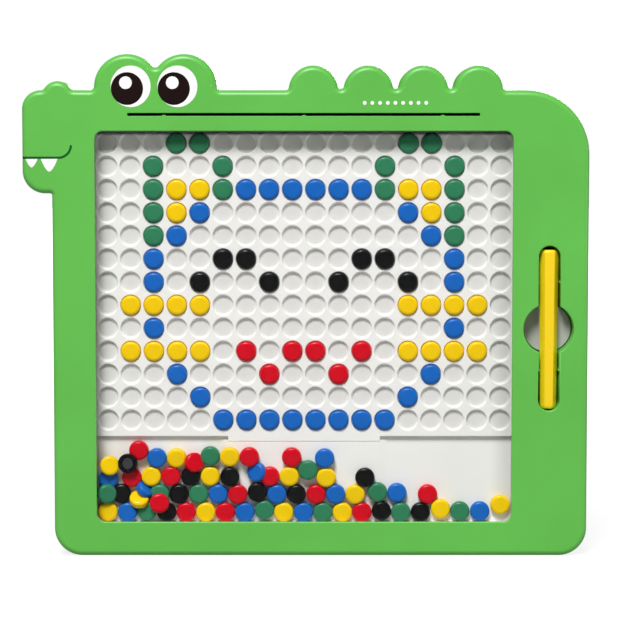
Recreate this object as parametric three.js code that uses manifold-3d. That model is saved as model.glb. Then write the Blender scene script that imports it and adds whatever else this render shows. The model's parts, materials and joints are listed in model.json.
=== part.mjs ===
// Magnetic bead drawing board in a crocodile-shaped frame, standing on its lower edge.
//
// Millimetres. X runs to the viewer's right, Y from the front face to the back, Z up.
// The origin is under the middle of the frame, on the surface it stands on.
// A depth is measured from the front face towards the back.
//
// From front to back: green front housing, clear pane, white bead tray, white rear cover.
// Steel-cored beads sit in the tray's pits or lie in its well, and a magnetic pen moves them.

import * as THREE from "three";
import Module from "manifold-3d";
import { mergeVertices } from "three/addons/utils/BufferGeometryUtils.js";

// ---------------------------------------------------------------- driving dimensions

const THICKNESS = 18;
const GAP = 0.3;

// Outline of the frame
const HALF_WIDTH = 135.1;
const BODY_LEFT = -121.1;
const TOP_Z = 223.3;
const BASE_CORNER_R = 13.3;
const BACK_CORNER_R = 30.5;
const SNOUT_BOTTOM_Z = 174.3;
const BROW_CORNER_R = 8.8;
const CHIN_CORNER_R = 10.8;
const THROAT_R = 1;
const NOSTRIL = { x: -118.2, z: 220.2, r: 7.4 };
const NOSTRIL_FILLET_R = 2.2;
const EYE_SPACING = 27.1;
const EYE_VALLEY_R = 2;
const LEFT_EYE = { x: -85.1, z: 224.7, r: 15.7 };
const RIGHT_EYE = { ...LEFT_EYE, x: LEFT_EYE.x + EYE_SPACING };
const SPINE_BUMPS = 4;
const SPINE_START_X = 3.5;
const SPINE_SPACING = 26.2;
const SPINE_R = 11.7;
const FILLET_R = 1.6;

// Front housing
const EDGE_R = 2.8;
const PLATE = 2.2;
const WALL = 2;
const WINDOW = { left: -100.6, right: 98.7, bottom: 16.4, top: 203.9, r: 3.8 };
const RING_OFFSET = 4.5;
const RING_WALL = 1.6;
const RING_BACK = 12.5;
const SLOT = { left: -84.9, right: 82.7, z: 211.8, height: 1.4, back: 12.6 };
const SLOT_WALL = 1.4;
const SLOT_BUMP_X = [-67.4, -0.9, 65.1];
const SLOT_BUMP = { width: 1.6, height: 0.4 };

// Pen, its trough and the finger hole
const PEN = { x: 116.4, bottom: 71, length: 77, topWidth: 9.5, tipWidth: 7.9, front: 0.4 };
const TROUGH = { halfWidth: 5.15, bottom: 70.2, top: 149.3, back: 9.6, wall: 1.6 };
const TROUGH_WAIST = { halfWidth: 4.85, bottom: 89.7, top: 131.9 };
const CLIP_HEIGHT = 1;
const FINGER_HOLE = { x: 116.1, z: 109.4, r: 12, back: 15.5 };
const PEN_BORE_R = 1.8;
const MAGNET = { r: 1.5, length: 5 };
const PLUG_LENGTH = 1.5;

// Pane and tray
const PANE = { front: 2.5, back: 4.0 };
const TRAY = { front: 4.3, back: 13.9, wall: 2 };
const CHAMBER = { margin: 0.5, bottomMargin: 1.4, r: 5 };
const PANEL = { face: 8.2, back: 12.2, bottom: 56.9 };
const WELL = { floor: 11.9, top: 10, foot: 44 };
const RAMP = { left: -37.7, right: 35.8, top: 54.4, foot: 26 };
const PITCH = 11.12;
const COLUMNS = 18;
const ROWS = 13;
const FIRST_PIT = { x: -95.5, z: 198.3 };
const PIT = { acrossFlats: 9.9, depth: 2 };

// Beads
const BEAD = { r: 4.72, thickness: 3.4, coreR: 2.7, coreThickness: 1.3, sides: 16 };
const PIT_BEAD_BACK = 9.9;
const WELL_BEAD_BACK = 11.7;
const RAMP_BEAD_BACK = 9.65;
const FRONT_LAYER_BACK = 7.9;

// Rear cover and its screws
const COVER = { front: 16, clearance: 0.3 };
const CUP = { r: 4.3, front: 14.5, headR: 3.1, seat: 15.9, holeR: 1.5 };
const BOSS = { r: 3.2, holeR: 1.4, holeFront: 5, back: 14.2 };
const SCREW = { headR: 2.75, headFront: 16.05, headBack: 17.8, shankR: 1.1, tip: 6 };
const COVER_RIB = { width: 1.6, front: 14.2 };
const FINGER_PAD = { r: 11.65, front: 9, wall: 2 };
const SCREW_PLACES = [
  [-111.5, 8.5],
  [0, 6.7],
  [124, 9],
  [-112.5, 110],
  [-124, 191],
  [-71.7, 219.5],
  [30, 219.5],
  [110, 207],
  [125, 168],
  [124, 46],
];

const COLOURS = {
  green: 0x41b62f,
  white: 0xe8e6e1,
  clear: 0xeaf4f6,
  yellow: 0xf5c400,
  red: 0xd60a2a,
  blue: 0x1668c8,
  black: 0x141414,
  leaf: 0x2f8058,
  steel: 0x8a8d90,
};

// ---------------------------------------------------------------- solids

const wasm = await Module();
wasm.setup();

// A closed three.js geometry as a manifold-3d solid.
function solid(geometry) {
  geometry.deleteAttribute("normal");
  geometry.deleteAttribute("uv");
  const merged = mergeVertices(geometry, 1e-4);
  const { array } = merged.getAttribute("position");
  const triangles = [];
  for (let i = 0; i < merged.index.count; i += 3) {
    const [a, b, c] = merged.index.array.slice(i, i + 3);
    if (a !== b && b !== c && c !== a) triangles.push(a, b, c);
  }
  const mesh = new wasm.Mesh({
    numProp: 3,
    vertProperties: new Float32Array(array),
    triVerts: new Uint32Array(triangles),
  });
  return new wasm.Manifold(mesh);
}

// A manifold-3d solid as a three.js geometry.
function geometryOf(body) {
  const mesh = body.getMesh();
  const geometry = new THREE.BufferGeometry();
  geometry.setAttribute("position", new THREE.BufferAttribute(mesh.vertProperties, 3));
  geometry.setIndex(new THREE.BufferAttribute(mesh.triVerts, 1));
  geometry.computeVertexNormals();
  return geometry;
}

// Front-view outlines given a thickness, from one depth to another.
function slab(shapes, front, back) {
  const geometry = new THREE.ExtrudeGeometry(shapes, {
    depth: back - front,
    bevelEnabled: false,
    curveSegments: 3,
  });
  geometry.translate(0, 0, THICKNESS / 2 - back);
  geometry.rotateX(Math.PI / 2);
  return solid(geometry);
}

// A front-view rectangle given a thickness.
function block(left, right, bottom, top, front, back) {
  const geometry = new THREE.BoxGeometry(right - left, back - front, top - bottom);
  geometry.translate((left + right) / 2, depthToY((front + back) / 2), (bottom + top) / 2);
  return solid(geometry);
}

// A solid of revolution about a front-to-back axis at (x, z); its profile is [radius, depth] pairs.
function turned(x, z, profile, sides) {
  const points = profile.map(([radius, depth]) => new THREE.Vector2(radius, depthToY(depth)));
  const geometry = new THREE.LatheGeometry(points, sides);
  geometry.translate(x, 0, z);
  return solid(geometry);
}

function cylinder(x, z, radius, front, back, sides) {
  const geometry = new THREE.CylinderGeometry(radius, radius, back - front, sides);
  geometry.translate(x, depthToY((front + back) / 2), z);
  return solid(geometry);
}

function depthToY(depth) {
  return depth - THICKNESS / 2;
}

function union(bodies) {
  return bodies.reduce((whole, body) => whole.add(body));
}

// ---------------------------------------------------------------- outlines

const ARC_STEP = THREE.MathUtils.degToRad(18);
const DOWN = -Math.PI / 2;

function bearing(from, to) {
  return Math.atan2(to.z - from.z, to.x - from.x);
}

// Centre of a fillet that sits in the valley between two bumps, the right one named first.
function valleyFillet(right, left, r) {
  const span = Math.hypot(left.x - right.x, left.z - right.z);
  const toRight = right.r + r;
  const toLeft = left.r + r;
  const along = (span * span + toRight * toRight - toLeft * toLeft) / (2 * span);
  const up = Math.sqrt(toRight * toRight - along * along);
  const ux = (left.x - right.x) / span;
  const uz = (left.z - right.z) / span;
  return { x: right.x + along * ux + up * uz, z: right.z + along * uz - up * ux, r };
}

// Centre of a fillet where a bump meets a level line, on its right (side 1) or left (side -1).
function lineFillet(bump, lineZ, r, side) {
  const z = lineZ + r;
  return { x: bump.x + side * Math.sqrt((bump.r + r) ** 2 - (z - bump.z) ** 2), z, r };
}

// The frame's outline as arcs, anticlockwise from the lower left corner. Straight runs join them.
function outlineArcs() {
  const arcs = [];
  const convex = (circle, start, end) => {
    arcs.push({ ...circle, start, end: end < start ? end + 2 * Math.PI : end, sense: 1 });
  };
  const concave = (circle, start, end) => {
    arcs.push({ ...circle, start, end: end > start ? end - 2 * Math.PI : end, sense: -1 });
  };
  const corner = (x, z, r, quarter) => {
    convex({ x, z, r }, (quarter * Math.PI) / 2, ((quarter + 1) * Math.PI) / 2);
  };
  // A row of bumps from right to left, standing on level lines at its two ends.
  const bumpRow = (bumps, rightLineZ, leftLineZ, endR, valleyR) => {
    const last = bumps.length - 1;
    const fillets = [lineFillet(bumps[0], rightLineZ, endR, 1)];
    for (let i = 0; i < last; i += 1) fillets.push(valleyFillet(bumps[i], bumps[i + 1], valleyR));
    fillets.push(lineFillet(bumps[last], leftLineZ, endR, -1));
    concave(fillets[0], DOWN, bearing(fillets[0], bumps[0]));
    bumps.forEach((bump, i) => {
      const next = fillets[i + 1];
      const leaves = i === last ? DOWN : bearing(next, bumps[i + 1]);
      convex(bump, bearing(bump, fillets[i]), bearing(bump, next));
      concave(next, bearing(next, bump), leaves);
    });
  };

  corner(BODY_LEFT + BASE_CORNER_R, BASE_CORNER_R, BASE_CORNER_R, 2);
  corner(HALF_WIDTH - BASE_CORNER_R, BASE_CORNER_R, BASE_CORNER_R, 3);
  corner(HALF_WIDTH - BACK_CORNER_R, TOP_Z - BACK_CORNER_R, BACK_CORNER_R, 0);
  const spine = [];
  for (let i = SPINE_BUMPS - 1; i >= 0; i -= 1) {
    spine.push({ x: SPINE_START_X + i * SPINE_SPACING, z: TOP_Z, r: SPINE_R });
  }
  bumpRow(spine, TOP_Z, TOP_Z, FILLET_R, FILLET_R);
  bumpRow([RIGHT_EYE, LEFT_EYE], TOP_Z, TOP_Z, EYE_VALLEY_R, EYE_VALLEY_R);
  bumpRow([NOSTRIL], TOP_Z, TOP_Z, NOSTRIL_FILLET_R, NOSTRIL_FILLET_R);
  corner(BROW_CORNER_R - HALF_WIDTH, TOP_Z - BROW_CORNER_R, BROW_CORNER_R, 1);
  corner(CHIN_CORNER_R - HALF_WIDTH, SNOUT_BOTTOM_Z + CHIN_CORNER_R, CHIN_CORNER_R, 2);
  const throat = { x: BODY_LEFT - THROAT_R, z: SNOUT_BOTTOM_Z - THROAT_R, r: THROAT_R };
  concave(throat, Math.PI / 2, 0);
  return arcs;
}

// The outline moved inwards by inset: outer arcs tighten and inner arcs open by that much.
function bodyShape(inset) {
  const points = [];
  for (const { x, z, r, start, end, sense } of outlineArcs()) {
    const radius = r - sense * inset;
    const steps = Math.max(2, Math.ceil(Math.abs(end - start) / ARC_STEP));
    for (let i = 0; i <= steps; i += 1) {
      const angle = start + ((end - start) * i) / steps;
      points.push(new THREE.Vector2(x + radius * Math.cos(angle), z + radius * Math.sin(angle)));
    }
  }
  return new THREE.Shape(points);
}

// The window's rounded rectangle, grown outwards by margin.
function windowShape(margin) {
  const { left, right, bottom, top } = WINDOW;
  return roundedRectangle(
    left - margin,
    right + margin,
    bottom - margin,
    top + margin,
    WINDOW.r + margin,
  );
}

function roundedRectangle(left, right, bottom, top, r) {
  const shape = new THREE.Shape();
  shape.absarc(left + r, bottom + r, r, Math.PI, 1.5 * Math.PI);
  shape.absarc(right - r, bottom + r, r, 1.5 * Math.PI, 2 * Math.PI);
  shape.absarc(right - r, top - r, r, 0, Math.PI / 2);
  shape.absarc(left + r, top - r, r, Math.PI / 2, Math.PI);
  shape.closePath();
  return shape;
}

// ---------------------------------------------------------------- front housing

// The outer block of the housing, its front edge rounded by EDGE_R, cut off square at the back.
function housingBlock() {
  const geometry = new THREE.ExtrudeGeometry(bodyShape(0), {
    depth: THICKNESS,
    bevelThickness: EDGE_R,
    bevelSize: EDGE_R,
    bevelOffset: -EDGE_R,
    bevelSegments: 2,
  });
  geometry.translate(0, 0, -THICKNESS / 2 - EDGE_R);
  geometry.rotateX(Math.PI / 2);
  const reach = 2 * HALF_WIDTH;
  const behind = block(-reach, reach, -reach, 2 * reach, THICKNESS, 3 * THICKNESS);
  return solid(geometry).subtract(behind);
}

function troughShape(margin) {
  const halfWidth = TROUGH.halfWidth + margin;
  return roundedRectangle(
    PEN.x - halfWidth,
    PEN.x + halfWidth,
    TROUGH.bottom - margin,
    TROUGH.top + margin,
    halfWidth,
  );
}

function penHalfWidth(z) {
  const share = (z - PEN.bottom) / PEN.length;
  return (PEN.tipWidth + (PEN.topWidth - PEN.tipWidth) * share) / 2;
}

// Walls that narrow the trough between its two pairs of clips, and the clip ribs themselves.
function troughGrips() {
  const grips = [];
  for (const side of [-1, 1]) {
    const bar = (inner, bottom, top, front) => {
      const outer = TROUGH.halfWidth + TROUGH.wall / 2;
      const [a, b] = [PEN.x + side * inner, PEN.x + side * outer];
      grips.push(block(Math.min(a, b), Math.max(a, b), bottom, top, front, TROUGH.back + GAP));
    };
    bar(TROUGH_WAIST.halfWidth, TROUGH_WAIST.bottom, TROUGH_WAIST.top, 0);
    for (const z of [TROUGH_WAIST.bottom, TROUGH_WAIST.top]) {
      bar(penHalfWidth(z) + GAP, z - CLIP_HEIGHT / 2, z + CLIP_HEIGHT / 2, PLATE / 2);
    }
  }
  return union(grips);
}

function frontHousing() {
  const { left, right, z, height } = SLOT;
  const root = PLATE - 0.1;
  const shell = housingBlock().subtract(slab(bodyShape(WALL), PLATE, 2 * THICKNESS));
  const ring = slab(windowShape(RING_OFFSET + RING_WALL), root, RING_BACK);
  const pocket = block(
    left - SLOT_WALL,
    right + SLOT_WALL,
    z - height / 2 - SLOT_WALL,
    z + height / 2 + SLOT_WALL,
    root,
    SLOT.back + SLOT_WALL,
  );
  const trough = slab(troughShape(TROUGH.wall), root, TROUGH.back + TROUGH.wall);
  const { x: fingerX, z: fingerZ, r: fingerR, back: fingerBack } = FINGER_HOLE;
  const tube = cylinder(fingerX, fingerZ, fingerR + TROUGH.wall, root, fingerBack, 32);
  const bosses = SCREW_PLACES.map(([x, y]) => cylinder(x, y, BOSS.r, root, BOSS.back, 10));
  const added = union([shell, ring, pocket, trough, tube, ...bosses]);

  const cuts = union([
    slab(windowShape(0), -1, PLATE + 1),
    slab(windowShape(RING_OFFSET), PLATE, TRAY.back + GAP),
    slab(troughShape(0), -1, TROUGH.back),
    block(left, right, z - height / 2, z + height / 2, -1, SLOT.back),
    ...SCREW_PLACES.map(([x, y]) => cylinder(x, y, BOSS.holeR, BOSS.holeFront, BOSS.back + 1, 8)),
  ]);
  const slotBumps = SLOT_BUMP_X.map((x) => {
    const bottom = z - height / 2;
    const halfWidth = SLOT_BUMP.width / 2;
    return block(x - halfWidth, x + halfWidth, bottom - 0.2, bottom + SLOT_BUMP.height, 0, PLATE);
  });
  const finger = cylinder(fingerX, fingerZ, fingerR, -1, fingerBack + 1, 32);
  return union([added.subtract(cuts), troughGrips(), ...slotBumps]).subtract(finger);
}

// ---------------------------------------------------------------- pane, tray and rear cover

function windowPane() {
  return slab(windowShape(RING_OFFSET - GAP), PANE.front, PANE.back);
}

function pitCentre(column, row) {
  return { x: FIRST_PIT.x + column * PITCH, z: FIRST_PIT.z - row * PITCH };
}

// Every pit as an eight-sided shape with its flats square to the grid.
function pitShapes() {
  const radius = PIT.acrossFlats / 2 / Math.cos(Math.PI / 8);
  const shapes = [];
  for (let row = 0; row < ROWS; row += 1) {
    for (let column = 0; column < COLUMNS; column += 1) {
      const { x, z } = pitCentre(column, row);
      const points = [];
      for (let i = 0; i < 8; i += 1) {
        const angle = ((i + 0.5) * Math.PI) / 4;
        points.push(new THREE.Vector2(x + radius * Math.cos(angle), z + radius * Math.sin(angle)));
      }
      shapes.push(new THREE.Shape(points));
    }
  }
  return shapes;
}

// A slope in the well, from its upper end (depth front, height top) down to the well's floor.
function slope(left, right, front, top, foot) {
  const profile = new THREE.Shape([
    new THREE.Vector2(depthToY(front), top),
    new THREE.Vector2(depthToY(WELL.floor), foot),
    new THREE.Vector2(depthToY(WELL.floor + 1), foot),
    new THREE.Vector2(depthToY(WELL.floor + 1), PANEL.bottom + 1),
    new THREE.Vector2(depthToY(front), PANEL.bottom + 1),
  ]);
  const geometry = new THREE.ExtrudeGeometry(profile, { depth: right - left, bevelEnabled: false });
  const axes = new THREE.Matrix4().makeBasis(
    new THREE.Vector3(0, 1, 0),
    new THREE.Vector3(0, 0, 1),
    new THREE.Vector3(1, 0, 0),
  );
  geometry.applyMatrix4(axes);
  geometry.translate(left, 0, 0);
  return solid(geometry);
}

// The space for the beads, which reaches lower than the window.
function chamberShape() {
  const { left, right, bottom, top } = WINDOW;
  return roundedRectangle(
    left - CHAMBER.margin,
    right + CHAMBER.margin,
    bottom - CHAMBER.bottomMargin,
    top + CHAMBER.margin,
    CHAMBER.r,
  );
}

function beadTray() {
  const { left, right, bottom, top } = WINDOW;
  const outer = slab(windowShape(RING_OFFSET - GAP), TRAY.front, TRAY.back);
  const chamber = slab(chamberShape(), 0, PANEL.face);
  const well = slab(chamberShape(), PANEL.face - 1, WELL.floor).subtract(
    block(left - 9, right + 9, PANEL.bottom, top + 9, 0, THICKNESS),
  );
  const behindPanel = block(
    left + TRAY.wall,
    right - TRAY.wall,
    PANEL.bottom + TRAY.wall,
    top - TRAY.wall,
    PANEL.back,
    TRAY.back + 1,
  );
  const pits = slab(pitShapes(), PANEL.face - 1, PANEL.face + PIT.depth);
  const hollow = outer.subtract(union([chamber, well, behindPanel]));
  const wellSlope = slope(left - 1, right + 1, WELL.top, PANEL.bottom, WELL.foot);
  const ramp = slope(RAMP.left, RAMP.right, PANEL.face, RAMP.top, RAMP.foot);
  return union([hollow, wellSlope, ramp]).subtract(pits);
}

function rearCover() {
  const plate = slab(bodyShape(WALL + COVER.clearance), COVER.front, THICKNESS);
  const root = COVER.front + 0.1;
  const cups = SCREW_PLACES.map(([x, z]) => cylinder(x, z, CUP.r, CUP.front, root, 12));
  const { left, right, bottom, top } = WINDOW;
  const half = COVER_RIB.width / 2;
  const ribs = [];
  for (const share of [0.2, 0.5, 0.8]) {
    const x = left + (right - left) * share;
    ribs.push(block(x - half, x + half, bottom, top, COVER_RIB.front, root));
  }
  for (const share of [0.15, 0.6]) {
    const z = bottom + (top - bottom) * share;
    ribs.push(block(left, right, z - half, z + half, COVER_RIB.front, root));
  }
  const { x: padX, z: padZ } = FINGER_HOLE;
  const pad = cylinder(padX, padZ, FINGER_PAD.r, FINGER_PAD.front, root, 32);
  const dishR = FINGER_PAD.r - FINGER_PAD.wall;
  const dishFront = FINGER_PAD.front + FINGER_PAD.wall;
  const dish = cylinder(padX, padZ, dishR, dishFront, THICKNESS + 1, 32);
  const holes = SCREW_PLACES.flatMap(([x, z]) => [
    cylinder(x, z, CUP.holeR, CUP.front - 1, COVER.front + 1, 8),
    cylinder(x, z, CUP.headR, CUP.seat, THICKNESS + 1, 12),
  ]);
  return union([plate, pad, ...cups, ...ribs]).subtract(union([dish, ...holes]));
}

// A pan-head self-tapping screw driven from the back.
function screw(x, z) {
  const { headR, headFront, headBack, shankR, tip } = SCREW;
  return turned(x, z, [
    [0, tip],
    [shankR, tip + 1.5],
    [shankR, headFront],
    [headR, headFront],
    [headR, headBack - 0.8],
    [headR - 0.7, headBack],
    [0, headBack],
  ], 10);
}

// ---------------------------------------------------------------- pen

const PEN_AXIS_DEPTH = PEN.front + (PEN.topWidth / 2) * Math.cos(Math.PI / 6);

// A part of the pen turned about its length; the profile is [radius, height above the tip] pairs.
function penPart(profile, sides, turn) {
  const points = profile.map(([radius, height]) => new THREE.Vector2(radius, height));
  const geometry = new THREE.LatheGeometry(points, sides, turn);
  geometry.rotateX(Math.PI / 2);
  geometry.translate(PEN.x, depthToY(PEN_AXIS_DEPTH), PEN.bottom);
  return solid(geometry);
}

function penBarrel() {
  const { length } = PEN;
  const top = PEN.topWidth / 2;
  const tip = PEN.tipWidth / 2;
  const barrel = penPart([
    [0, 0],
    [tip * 0.68, 0],
    [tip * 0.92, 0.9],
    [tip, 3],
    [top, length - 4.5],
    [top * 0.86, length - 1.6],
    [top * 0.55, length],
    [0, length],
  ], 6, Math.PI / 6);
  const bore = penPart([
    [0, -1],
    [PEN_BORE_R, -1],
    [PEN_BORE_R, boreDepth()],
    [0, boreDepth()],
  ], 12, 0);
  return barrel.subtract(bore);
}

function boreDepth() {
  return PLUG_LENGTH + MAGNET.length + 3 * GAP;
}

function rod(radius, from, to) {
  return penPart([
    [0, from],
    [radius, from],
    [radius, to],
    [0, to],
  ], 12, 0);
}

// ---------------------------------------------------------------- beads

// A bead's coloured cap: a disc with a round recess for the core in its back.
function beadCap(x, z, back) {
  const { r, thickness, coreR, coreThickness, sides } = BEAD;
  const recessR = coreR + GAP;
  const recess = back - coreThickness - GAP;
  return turned(x, z, [
    [0, back - thickness],
    [r, back - thickness],
    [r, back],
    [recessR, back],
    [recessR, recess],
    [0, recess],
  ], sides);
}

function beadCore(x, z, back) {
  return cylinder(x, z, BEAD.coreR, back - BEAD.coreThickness, back, BEAD.sides);
}

// The same bead turned over, its core towards the window.
function mirroredBead(make, x, z, back) {
  const geometry = geometryOf(make(0, 0, back));
  const middle = depthToY(back - BEAD.thickness / 2);
  geometry.translate(0, -middle, 0);
  geometry.rotateX(Math.PI);
  geometry.translate(x, middle, z);
  return solid(geometry);
}

// Two eyes and a mouth laid out in the pits, as [colour, row, columns].
const PICTURE = [
  ["black", 5, [5, 6, 11, 12]],
  ["black", 6, [4, 7, 10, 13]],
  ["red", 9, [6, 8, 9, 11]],
  ["red", 10, [7, 10]],
];

// Beads on top of the loose heap, each free to be drawn up.
const LOOSE = [
  { name: "red_loose", colour: "red", x: 58.9, z: 28.5, back: WELL_BEAD_BACK },
  { name: "yellow_loose", colour: "yellow", x: 94.1, z: 23.4, back: WELL_BEAD_BACK },
  { name: "leaf_green_loose", colour: "leaf", x: 74.6, z: 20.2, back: WELL_BEAD_BACK },
  { name: "blue_loose", colour: "blue", x: 84.3, z: 20.2, back: WELL_BEAD_BACK },
  { name: "black_loose", colour: "black", x: 28.5, z: 36.9, back: RAMP_BEAD_BACK },
];
const OVERTURNED = { name: "black_overturned", x: -86, z: 44.1, back: FRONT_LAYER_BACK };

// ---------------------------------------------------------------- assembly

const board = new THREE.Group();
board.name = "magnetic_bead_board";

function add(name, body, colour, roughness, metalness = 0) {
  const material = new THREE.MeshStandardMaterial({ color: colour, roughness, metalness });
  const mesh = new THREE.Mesh(geometryOf(body), material);
  mesh.name = name;
  board.add(mesh);
}

function addBead(name, colour, cap, core) {
  add(`bead_${name}_cap`, cap, COLOURS[colour], 0.35);
  add(`bead_${name}_core`, core, COLOURS.steel, 0.4, 1);
}

add("front_housing", frontHousing(), COLOURS.green, 0.4);
add("window_pane", windowPane(), COLOURS.clear, 0.05);
add("bead_tray", beadTray(), COLOURS.white, 0.5);
add("rear_cover", rearCover(), COLOURS.white, 0.5);

SCREW_PLACES.forEach(([x, z], i) => {
  add(`cover_screw_${i + 1}`, screw(x, z), COLOURS.steel, 0.35, 1);
});

add("pen_barrel", penBarrel(), COLOURS.yellow, 0.35);
add("pen_magnet", rod(MAGNET.r, PLUG_LENGTH + 2 * GAP, PLUG_LENGTH + 2 * GAP + MAGNET.length),
  COLOURS.steel, 0.3, 1);
add("pen_plug", rod(MAGNET.r, 0, PLUG_LENGTH), COLOURS.yellow, 0.35);

for (const [colour, row, columns] of PICTURE) {
  for (const column of columns) {
    const { x, z } = pitCentre(column, row);
    addBead(
      `${colour}_r${row + 1}_c${column + 1}`,
      colour,
      beadCap(x, z, PIT_BEAD_BACK),
      beadCore(x, z, PIT_BEAD_BACK),
    );
  }
}
for (const { name, colour, x, z, back } of LOOSE) {
  addBead(name, colour, beadCap(x, z, back), beadCore(x, z, back));
}
addBead(
  OVERTURNED.name,
  "black",
  mirroredBead(beadCap, OVERTURNED.x, OVERTURNED.z, OVERTURNED.back),
  mirroredBead(beadCore, OVERTURNED.x, OVERTURNED.z, OVERTURNED.back),
);

export default board;
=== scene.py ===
"""Magnetic bead drawing board in a crocodile-shaped frame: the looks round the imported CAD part.

Lengths are in millimetres until a mesh is made. A depth is measured from the front face
towards the back.
"""

import json
import math
import random

import bmesh
import bpy
from mathutils import Matrix, Vector
from mathutils.geometry import delaunay_2d_cdt

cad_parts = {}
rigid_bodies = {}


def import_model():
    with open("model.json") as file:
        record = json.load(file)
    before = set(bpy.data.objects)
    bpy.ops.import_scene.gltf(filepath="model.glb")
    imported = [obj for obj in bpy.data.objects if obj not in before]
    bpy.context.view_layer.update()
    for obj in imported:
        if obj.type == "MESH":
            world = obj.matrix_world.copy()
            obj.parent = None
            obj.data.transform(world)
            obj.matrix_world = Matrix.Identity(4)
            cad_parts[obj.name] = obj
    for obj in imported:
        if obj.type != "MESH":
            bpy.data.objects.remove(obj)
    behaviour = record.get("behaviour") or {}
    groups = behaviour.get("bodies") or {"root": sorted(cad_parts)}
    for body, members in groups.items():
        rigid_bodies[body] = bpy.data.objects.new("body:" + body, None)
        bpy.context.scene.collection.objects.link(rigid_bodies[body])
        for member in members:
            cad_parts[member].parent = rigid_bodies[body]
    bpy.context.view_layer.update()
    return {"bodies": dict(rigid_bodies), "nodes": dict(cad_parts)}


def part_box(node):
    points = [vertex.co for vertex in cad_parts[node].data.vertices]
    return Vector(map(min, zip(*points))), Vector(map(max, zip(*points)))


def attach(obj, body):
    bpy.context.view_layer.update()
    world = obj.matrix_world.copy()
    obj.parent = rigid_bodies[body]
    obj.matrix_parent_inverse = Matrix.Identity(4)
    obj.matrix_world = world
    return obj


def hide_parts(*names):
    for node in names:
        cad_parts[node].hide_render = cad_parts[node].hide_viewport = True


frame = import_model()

MM = 0.001
RNG = random.Random(7)
FULL_TURN = 2 * math.pi
QUARTER = math.pi / 2
FRONT, OUTWARD, BACK, INWARD = 90, 0, -90, -180


# ---- measures taken from the frame

class Box:
    """A CAD node's box in millimetres."""

    def __init__(self, node):
        low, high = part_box(node)
        self.left, self.front, self.bottom = (c / MM for c in low)
        self.right, self.back, self.top = (c / MM for c in high)
        self.x = (self.left + self.right) / 2
        self.z = (self.bottom + self.top) / 2
        self.width = self.right - self.left
        self.height = self.top - self.bottom


HOUSING = Box("front_housing")
PANE = Box("window_pane")
TRAY = Box("bead_tray")
COVER = Box("rear_cover")
PEN = Box("pen_barrel")
FACE_Y = HOUSING.front
THICKNESS = HOUSING.back - HOUSING.front


def depth_of(y):
    return y - FACE_Y


# Frame outline
HALF_WIDTH = HOUSING.width / 2
BODY_LEFT = -121.1
TOP_Z = 223.3
BASE_CORNER_R = 13.3
BACK_CORNER_R = 30.5
SNOUT_BOTTOM_Z = 174.3
BROW_CORNER_R = 8.8
CHIN_CORNER_R = 10.8
THROAT_R = 1.0
NOSTRIL = (-118.2, 220.2, 7.4)
NOSTRIL_FILLET_R = 2.2
LEFT_EYE = (-85.1, 224.7, 15.7)
RIGHT_EYE = (-58.0, 224.7, 15.7)
EYE_VALLEY_R = 2.0
SPINE = [(3.5 + 26.2 * i, TOP_Z, 11.7) for i in (3, 2, 1, 0)]
SPINE_FILLET_R = 1.6
ARC_STEP = math.radians(4)

# Front housing
EDGE_R = 2.8
BACK_EDGE_R = 0.8
PLATE = 2.2
WALL = 2.0
RIM_EDGE_R = 0.35
LIP_R = 0.5
PANE_OVERLAP = 4.2
SLOT_X, SLOT_Z, SLOT_HALF_LENGTH, SLOT_HALF_HEIGHT = -1.1, 211.8, 83.8, 0.7
SLOT_BACK = 12.6
SLOT_BUMPS = (-67.4, -0.9, 65.1)
POCKET_WALL = 1.4
TROUGH_HALF_WIDTH = 5.15
TROUGH_WAIST = 4.85
TROUGH_BOTTOM, TROUGH_TOP, TROUGH_BACK = 70.2, 149.3, 9.6
TROUGH_LIP_R, TROUGH_WALL = 0.65, 1.6
CLIP_LEVELS = (89.7, 131.9)
PAD_REACH, RIB_GAP = 8, 0.25
FINGER_X, FINGER_Z, FINGER_R, FINGER_BACK = 116.1, 109.4, 12.0, 15.5
PEN_TIP_R = 3.95

# Tray
WINDOW = {
    "left": PANE.left + PANE_OVERLAP,
    "right": PANE.right - PANE_OVERLAP,
    "bottom": PANE.bottom + PANE_OVERLAP,
    "top": PANE.top - PANE_OVERLAP,
}
WINDOW_R = 3.8
CHAMBER_R = 5.0
CHAMBER = {
    "left": WINDOW["left"] - 0.5,
    "right": WINDOW["right"] + 0.5,
    "bottom": WINDOW["bottom"] - 1.4,
    "top": WINDOW["top"] + 0.5,
}
PANEL_FACE, PANEL_BACK, PANEL_BOTTOM = 8.2, 12.2, 56.9
WELL_FLOOR, WELL_TOP, WELL_FOOT = 11.9, 10.0, 44.0
WELL_SLOPE = (WELL_FLOOR - WELL_TOP) / (PANEL_BOTTOM - WELL_FOOT)
RAMP_LEFT, RAMP_RIGHT, RAMP_TOP, RAMP_FOOT = -37.7, 35.8, 54.4, 26.0
RAMP_SLOPE = (WELL_FLOOR - PANEL_FACE) / (RAMP_TOP - RAMP_FOOT)
PITCH = 11.12
COLUMNS, ROWS = 18, 13
FIRST_PIT_X, FIRST_PIT_Z = -95.5, 198.3
PIT_R = 4.95
PIT_DEPTH = 1.6

# Rear cover
COVER_FRONT = 16.0
PAD_R, PAD_FRONT, PAD_WALL = 11.65, 9.0, 2.0
SEAT_R, SEAT_DEPTH = 3.1, 1.5

# Beads
BEAD_R = 4.72
BEAD_THICKNESS = 3.4
PIT_BEAD_BACK, PIT_BEAD_GAP = 9.9, 0.15
FRONT_LAYER_BACK = 8.1
CORE_R = 2.7
CORE_THICKNESS = 1.3
CORE_GAP = 0.3


# ---- materials

def srgb(red, green, blue):
    """An sRGB colour, 0 to 255, as linear red, green, blue and alpha."""
    def linear(c):
        c /= 255
        return c / 12.92 if c <= 0.04045 else ((c + 0.055) / 1.055) ** 2.4

    return (linear(red), linear(green), linear(blue), 1)


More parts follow.
